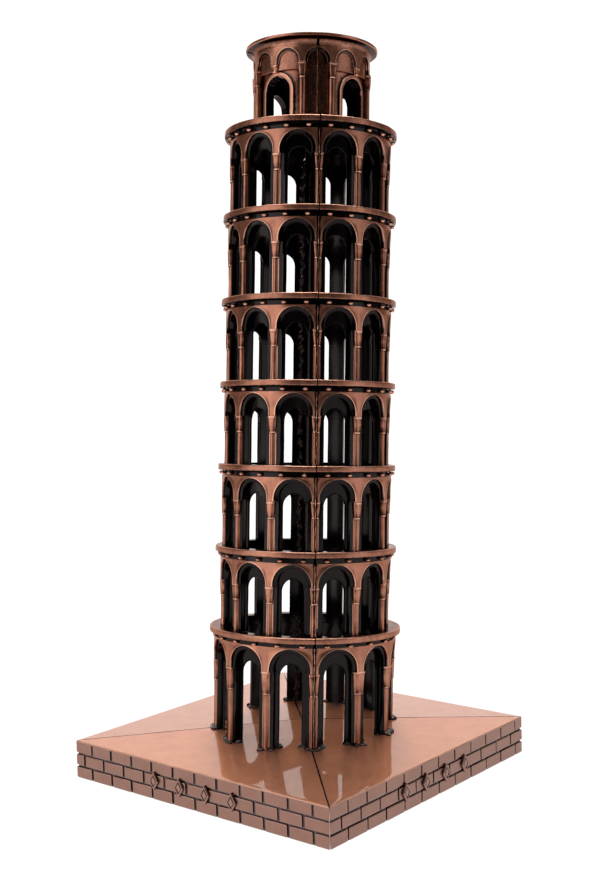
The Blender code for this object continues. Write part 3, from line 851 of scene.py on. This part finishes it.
def cornice_profile():
    """Thin top rim over a deep cove; the cove and the rim's underside are painted dark, patina and
    painted shade, and the top edges are painted bright, part wear and part painted highlight.
    """
    outline = [(BELFRY_BORE_R, BELFRY_TOP - 2.7 * MM, 1.0, 0.0)]
    for radius, down, patina, edge in (
            (13.9, 2.7, 1.0, 0.0), (14.02, 2.4, 0.5, 0.0), (14.02, 1.75, 0.4, 0.0),
            (14.25, 1.3, 0.5, 0.0), (14.7, 1.0, 0.7, 0.0), (15.4, 0.82, 1.0, 0.0),
            (15.75, 0.76, 0.8, 0.2), (15.95, 0.72, 0.2, 0.7), (16.08, 0.62, 0.0, 0.4),
            (16.1, 0.4, 0.0, 0.3), (16.08, 0.12, 0.0, 1.0), (15.95, 0.03, 0.0, 1.0),
            (15.7, 0.0, 0.1, 0.2), (12.0, 0.0, 0.3, 0.0)):
        outline.append((radius * MM, BELFRY_TOP - down * MM, patina, edge))
    outline.append((BELFRY_BORE_R, BELFRY_TOP, 0.8, 0.0))
    return outline


def belfry(k):
    """Quarter k of the belfry, with a doorway in its middle."""
    casting = Casting()
    foot_z = TOWER_HEAD - 0.03 * MM
    add_arcade(casting)
    add_doorway(casting, foot_z)
    add_belfry_columns(casting, foot_z)
    add_ring(casting, cornice_profile())
    add_flash(casting, BELFRY_FACE_R - 0.1 * MM, BELFRY_CAPITAL_Z + 3.4 * MM,
              BELFRY_CAPITAL_Z, BELFRY_TOP - 2.2 * MM, k)
    add_flash(casting, BELFRY_WALL_R + 0.5 * MM, foot_z, foot_z + 3.0 * MM, BAND_TOP, k)
    lift, push = casting_offset(k, 0.08)

    def shape(points):
        points = trim_seams(casting, wander(points, 0.045 * MM, 2.0 * MM, k + 20))
        points = transformed(points, tower_place(k, lift, push))
        points[:, 2] = np.minimum(points[:, 2], cad_high.z - 0.05 * MM)
        return points

    casting.piece(f"belfry_casting_{SIDES[k]}", TOWER_COPPER,
                  [f"belfry_{SIDES[k]}"], shape)


# ---- base ----
GROOVE = 0.34 * MM
COURSES = 3
BASE_WALL_T = 1.8 * MM
BOSS_PITCH = 8.0 * MM
BOSS_HALF_LENGTH = 1.5 * MM
BOSS_HALF_HEIGHT = 2.3 * MM
JOINTS = 11  # upright joints in each course
LEVEL_GROOVE = 0.36 * MM
# per kind of side (right and left, back and front): the width of an upright groove, then
# the first joint and the pitch in mm, in the outer courses and in the middle one
BRICKWORK = [(0.36 * MM, (6.3, 6.84), (4.0, 6.85)), (0.62 * MM, (5.6, 6.8), (2.9, 6.8))]


def mitre(x):
    """Half the width of the wedge at the distance x from the middle."""
    return x - HIP_GAP


def base_shell(casting):
    """Wedge shell facing +X: sloping top, side behind the bricks, rim and hollow."""
    outer = BASE_HALF - GROOVE
    inner = BASE_HALF - BASE_WALL_T
    section = [(0.5 * MM + (outer - 1.2 * MM) * i / 56, None, 0.0, 0.0) for i in range(57)]
    top_edge = APEX_Z - SLOPE * BASE_HALF
    section += [(BASE_HALF - 0.5 * MM, top_edge + 0.02 * MM, 0.0, 0.1),
                (BASE_HALF - 0.2 * MM, top_edge - 0.02 * MM, 0.0, 0.9),
                (BASE_HALF - 0.06 * MM, top_edge - 0.14 * MM, 0.0, 1.0),
                (BASE_HALF - 0.02 * MM, top_edge - 0.3 * MM, 0.0, 0.4),
                (BASE_HALF - 0.04 * MM, top_edge - 0.42 * MM, 0.2, 0.2),
                (outer, top_edge - 0.55 * MM, 0.9, 0.0),
                (outer, BASE_HEIGHT / 2, 1.0, 0.0), (outer, 0.2 * MM, 1.0, 0.0),
                (outer - 0.1 * MM, 0.0, 0.6, 0.0), (inner, 0.0, 0.6, 0.0),
                (inner, 7.3 * MM, 0.9, 0.0), (inner - 0.3 * MM, 7.5 * MM, 0.9, 0.0),
                (0.5 * MM, APEX_Z - 1.85 * MM, 0.9, 0.0)]
    near_end = np.array([0.0, 0.05, 0.13, 0.24]) * MM
    rows = []
    for x, z, patina, edge in section:
        reach = mitre(x)
        ends = near_end * min(1.0, reach / (2.0 * MM))
        middle = np.linspace(-1, 1, 91)[1:-1] * (reach - 1.5 * ends[-1])
        y = np.concatenate([ends - reach, middle, (reach - ends)[::-1]])
        height = np.full(len(y), APEX_Z - SLOPE * x if z is None else z)
        height[[0, -1]] -= 0.07 * MM if z is None else 0.0
        height[[1, -2]] -= 0.02 * MM if z is None else 0.0
        darkening = np.full(len(y), patina)
        darkening[[0, 1, -2, -1]] = 1.0
        darkening[[2, -3]] = max(patina, 0.7)
        rows.append(casting.row(np.stack([np.full(len(y), x), y, height], axis=1),
                                darkening, edge))
    casting.loft(rows + [rows[0]])
    casting.cap([row[0] for row in rows])
    casting.cap([row[-1] for row in rows])


def rounded_rectangle(y_low, y_high, z_low, z_high, corner):
    """Outline of a brick's face, three points to a corner."""
    points = []
    for cy, cz, start in ((y_high, z_high, 0), (y_low, z_high, 1), (y_low, z_low, 2),
                          (y_high, z_low, 3)):
        sy = -1 if cy == y_high else 1
        sz = -1 if cz == z_high else 1
        for i in range(3):
            a = (start + i / 2) * pi / 2
            points.append((cy + sy * corner + corner * cos(a), cz + sz * corner + corner * sin(a)))
    return points


def add_brick(casting, y_low, y_high, z_low, z_high, low_end, high_end, proud):
    """One brick of the side; an end at the base's corner is cut along the mitre."""
    rows = []
    for x, inset, patina, edge in (
            (-GROOVE - 0.1 * MM, 0.0, 1.0, 0.0), (-0.16 * MM, 0.02 * MM, 0.8, 0.0),
            (-0.06 * MM, 0.06 * MM, 0.1, 0.5), (0.0, 0.16 * MM, 0.0, 0.7),
            (0.0, 0.42 * MM, 0.0, 0.1)):
        depth = BASE_HALF + x + proud
        low = -mitre(depth) if low_end else y_low + inset
        high = mitre(depth) if high_end else y_high - inset
        corner = max(0.22 * MM - inset * 0.4, 0.05 * MM)
        ring = rounded_rectangle(low, high, z_low + inset, z_high - inset, corner)
        rows.append(casting.row([(depth, y, z) for y, z in ring], patina, edge))
    casting.solid(rows)


def base_bricks(casting, k):
    """Three courses, with the joints where they fall from the side's -Y end."""
    course = (BASE_HEIGHT - 0.1 * MM) / COURSES
    upright, outer_courses, middle_course = BRICKWORK[k % 2]
    for c in range(COURSES):
        first, pitch = middle_course if c == 1 else outer_courses
        joints = [-BASE_HALF + (first + pitch * i + 0.08 * sin(i * 2.7 + c)) * MM
                  for i in range(JOINTS)]
        edges = [-BASE_HALF] + joints + [BASE_HALF]
        z_low = c * course + (0.05 * MM if c == 0 else LEVEL_GROOVE / 2)
        z_high = (c + 1) * course - (LEVEL_GROOVE / 2 if c < COURSES - 1 else 0.0)
        for i, (low, high) in enumerate(zip(edges, edges[1:])):
            proud = -0.03 * MM * (1 + sin(i * 3.7 + c * 2.3 + k))
            add_brick(casting, low + upright / 2, high - upright / 2, z_low, z_high, i == 0,
                      i == JOINTS, proud)


def base_bosses(casting):
    """Four plain raised lozenges with blunt points along the side."""
    for i in range(4):
        across = (i - 1.5) * BOSS_PITCH
        rows = []
        for x, grow, patina, edge in ((-0.5, 1.0, 1.0, 0.0), (0.1, 1.0, 0.9, 0.0),
                                      (0.42, 0.96, 0.1, 0.6), (0.56, 0.88, 0.0, 1.0),
                                      (0.57, 0.70, 0.0, 0.2), (0.40, 0.60, 0.8, 0.0),
                                      (0.40, 0.54, 0.8, 0.0), (0.56, 0.42, 0.0, 0.8)):
            points = []
            for j in range(24):
                a = 2 * pi * j / 24
                c, s = cos(a), sin(a)
                reach = min(1 / (abs(c) + abs(s)), 0.93)
                points.append((BASE_HALF + x * MM, across + BOSS_HALF_LENGTH * grow * reach * c,
                               BASE_HEIGHT / 2 + BOSS_HALF_HEIGHT * grow * reach * s))
            rows.append(casting.row(points, patina, edge))
        casting.solid(rows)


def base(k):
    """Wedge k of the base, mitred along the diagonals."""
    casting = Casting()
    base_shell(casting)
    base_bricks(casting, k)
    base_bosses(casting)
    turn = np.array(Matrix.Rotation(k * QUARTER, 4, "Z"))

    def shape(points):
        out = wander(points, 0.02 * MM, 9.0 * MM, k + 30)
        out[:, 0] = np.minimum(out[:, 0], BASE_HALF + 0.58 * MM)
        out[:, 2] = np.maximum(out[:, 2], 0.0)
        return transformed(out, turn)

    casting.piece(f"base_casting_{SIDES[k]}", BASE_COPPER,
                  [f"base_{SIDES[k]}"], shape, sharp=30.0)


# ---- solder ----
def lumps(name, blobs, nodes, seed, voxel=0.16 * MM):
    """Solder made of overlapping uneven blobs, fused into one skin."""
    bm = bmesh.new()
    for center, radii in blobs:
        made = bmesh.ops.create_icosphere(bm, subdivisions=2, radius=1.0)
        for vert in made["verts"]:
            swell = 1 + 0.38 * noise.noise(vert.co * 2.3 + Vector((seed, seed * 2, 0)))
            vert.co = Vector(c + r * v * swell for c, r, v in zip(center, radii, vert.co))
            seed += 0.0001
    mesh = bpy.data.meshes.new(name)
    bm.to_mesh(mesh)
    bm.free()
    obj = add_object(name, mesh)
    fuse = obj.modifiers.new("fuse", "REMESH")
    fuse.mode = "VOXEL"
    fuse.voxel_size = voxel
    soften = obj.modifiers.new("soften", "SMOOTH")
    soften.iterations = 4
    depsgraph = bpy.context.evaluated_depsgraph_get()
    fused = bpy.data.meshes.new_from_object(obj.evaluated_get(depsgraph))
    obj.modifiers.clear()
    obj.data = fused
    fused.shade_smooth()
    fused.materials.append(SOLDER)
    place_piece(obj, nodes)


def solder_spot(radius, angle):
    """The point of the base's top under a point of the tower's foot."""
    spot = TOWER @ Vector(polar(radius, angle, 0.0))
    return spot.x, spot.y, float(surface_z(spot.x, spot.y))


def foot_solder(i):
    """Lumps round one column's foot, and a few more inside the wall."""
    angle = QUARTER / 2 + i * BAY
    blobs = []
    for j in range(9):
        seed = i * 9 + j
        radius = (FACE_R[0] - 0.1 + 0.5 * cos(seed * 1.9)) * MM
        x, y, z = solder_spot(radius, angle + radians(3.6) * sin(seed * 2.3))
        size = (0.40 + 0.2 * sin(seed * 3.1)) * MM
        radii = (size * 1.4, size * 1.2, size * (0.85 + 0.5 * sin(seed * 1.3)))
        blobs.append(((x, y, z + 0.12 * MM), radii))
    for j in range(6):
        seed = i * 6 + j
        radius = (FACE_R[0] - 1.5 - 1.2 * cos(seed * 2.9)) * MM
        x, y, z = solder_spot(radius, angle + radians(6.5) * sin(seed * 1.7 + 1))
        size = (0.6 + 0.3 * sin(seed * 2.7)) * MM
        blobs.append(((x, y, z + 0.05 * MM), (size * 1.5, size * 1.3, size * 0.9)))
    lumps(f"foot_solder_lumps_{i + 1:02d}", blobs, [f"foot_solder_{i + 1:02d}"], i)


def corner_name(k):
    """The two sides that meet at the seam after quarter k."""
    return f"{SIDES[k]}_{SIDES[(k + 1) % 4]}"


def seam_solder(k):
    """Uneven bead up the inside of a tower seam."""
    angle = QUARTER / 2 + k * QUARTER
    blobs = []
    for j, z in enumerate(np.arange(0.5 * MM, TOWER_HEAD - 3.0 * MM, 0.95 * MM)):
        radius = bore_radius(z) + 0.12 * MM
        spot = TOWER @ Vector(polar(radius, angle + radians(1.2) * sin(j * 2.2 + k), z))
        size = 0.6 * MM * (1 + 0.35 * sin(j * 1.7 + k) + 0.2 * sin(j * 4.1))
        blobs.append((tuple(spot), (size, size, size * 1.5)))
    lumps(f"seam_solder_bead_{corner_name(k)}", blobs,
          [f"seam_solder_{corner_name(k)}"], k, 0.2 * MM)


def hip_solder(k):
    """Bead under the base's top along a hip."""
    angle = QUARTER / 2 + k * QUARTER
    blobs = []
    far_end = BASE_HALF * sqrt(2) - 6.5 * MM
    for j, reach in enumerate(np.arange(4.5 * MM, far_end, 1.1 * MM)):
        x, y = reach * cos(angle), reach * sin(angle)
        size = (1.0 + 0.25 * sin(j * 2.3 + k)) * MM
        blobs.append(((x, y, float(surface_z(x, y)) - 2.1 * MM), (size, size, size * 0.8)))
    lumps(f"hip_solder_bead_{corner_name(k)}", blobs,
          [f"hip_solder_{corner_name(k)}"], k, 0.25 * MM)


for quarter in range(4):
    base(quarter)
    ground_storey(quarter)
    galleries(quarter)
    belfry(quarter)
    seam_solder(quarter)
    hip_solder(quarter)
for foot in range(12):
    foot_solder(foot)


# ---- stage, light and camera ----
AWAY = Vector((-0.638, 0.770, 0.0)).normalized()  # from the camera past the object
ACROSS = Vector((0.770, 0.638, 0.0)).normalized()  # to the camera's right


FLOOR_HALF = 3.0
BACKDROP_AWAY = 0.45
BACKDROP_BEND = 0.15
BACKDROP_TOP = 0.9
LIT_POINT = (0, 0, 0.09)  # the middle of the tower
VIEW_SCALE = BASE_HALF / (39.0 * MM)
CAMERA_PLACE = Vector((201.4, -242.4, 105.1)) * MM * VIEW_SCALE
CAMERA_TARGET = Vector((0.23, 0.19, 79.3)) * MM * VIEW_SCALE
CAMERA_ROLL = radians(-1.52)
CAMERA_LENS = 53.03  # on a frame 36 high


def pale_material(name, glow):
    """Matt white paper that glows evenly, so that no lamp shows on it."""
    mat, tree, shader, coords = new_material(name)
    shade = blend(tree, speckle(tree, coords, 30.0), (0.10, 0.10, 0.10), (0.12, 0.12, 0.12))
    tree.links.new(shade, shader.inputs["Base Color"])
    set_inputs(shader, Roughness=0.8, Specular_IOR_Level=0.1,
               Emission_Color=(1.0, 1.0, 1.0, 1.0), Emission_Strength=glow)
    return mat


def stage_sheet(name, profile, half_width, mat):
    """A sheet with the given (away, up) section, as wide as the view needs."""
    mesh = bpy.data.meshes.new(name)
    points, faces = [], []
    for v, z in profile:
        for u in (-half_width, half_width):
            points.append(tuple(ACROSS * u + AWAY * v + Vector((0, 0, z))))
    for i in range(len(profile) - 1):
        faces.append((2 * i, 2 * i + 1, 2 * i + 3, 2 * i + 2))
    mesh.from_pydata(points, [], faces)
    mesh.shade_smooth()
    mesh.materials.append(mat)
    add_object(name, mesh)


def stage():
    """Pale floor, and behind the object a backdrop that curves up from it."""
    under = -0.02 * MM
    stage_sheet("floor", [(-FLOOR_HALF, under), (FLOOR_HALF, under)], FLOOR_HALF,
                pale_material("pale_floor", 0.97))
    sweep = [(BACKDROP_AWAY, 0.0)]
    for a in np.linspace(0.05, pi / 2, 12):
        sweep.append((BACKDROP_AWAY + BACKDROP_BEND * sin(a), BACKDROP_BEND * (1 - cos(a))))
    sweep.append((BACKDROP_AWAY + BACKDROP_BEND, BACKDROP_TOP))
    stage_sheet("backdrop", sweep, 0.6, pale_material("pale_backdrop", 0.98))


def studio_world():
    """A pale grey room, dimmer on the camera's side."""
    world = bpy.data.worlds.new("studio")
    bpy.context.scene.world = world
    world.use_nodes = True
    tree = world.node_tree
    back = tree.nodes["Background"]
    coords = node(tree, "ShaderNodeTexCoord").outputs["Generated"]
    split = node(tree, "ShaderNodeVectorMath", operation="DOT_PRODUCT")
    split.inputs[1].default_value = AWAY
    tree.links.new(coords, split.inputs[0])
    share = ramp(tree, split.outputs["Value"], -0.9, 0.6)
    shade = blend(tree, share, (0.04, 0.038, 0.037), (0.22, 0.22, 0.22))
    tree.links.new(shade, back.inputs["Color"])


def soft_light(name, location, size, power, target):
    """A rectangular softbox."""
    data = bpy.data.lights.new(name, "AREA")
    data.shape = "RECTANGLE"
    data.size, data.size_y = size
    data.energy = power
    light = add_object(name, data)
    light.location = location
    aim = Vector(target) - Vector(location)
    light.rotation_euler = aim.to_track_quat("-Z", "Y").to_euler()


def photo_camera():
    """Portrait view on the front right corner of the base, a little above the middle."""
    forward = (CAMERA_TARGET - CAMERA_PLACE).normalized()
    right = forward.cross(Vector((0, 0, 1))).normalized()
    up = right.cross(forward)
    x_axis = right * cos(CAMERA_ROLL) + up * sin(CAMERA_ROLL)
    y_axis = up * cos(CAMERA_ROLL) - right * sin(CAMERA_ROLL)
    data = bpy.data.cameras.new("camera")
    data.sensor_fit = "VERTICAL"
    data.sensor_height = 36.0
    data.lens = CAMERA_LENS
    data.clip_start = 0.01
    camera = add_object("camera", data)
    turn = Matrix((x_axis, y_axis, -forward)).transposed()
    camera.matrix_world = Matrix.Translation(CAMERA_PLACE) @ turn.to_4x4()
    bpy.context.scene.camera = camera


stage()
studio_world()
soft_light("key", (-0.26, -0.71, 0.2), (0.62, 0.7), 2.3, LIT_POINT)
soft_light("side", (0.70, 0.24, 0.16), (0.3, 0.6), 0.6, LIT_POINT)
soft_light("top", tuple(AWAY * 0.12 + Vector((0, 0, 0.85))), (0.7, 0.7), 9.0, AWAY * 0.12)
photo_camera()
bpy.context.scene.view_settings.view_transform = "Standard"
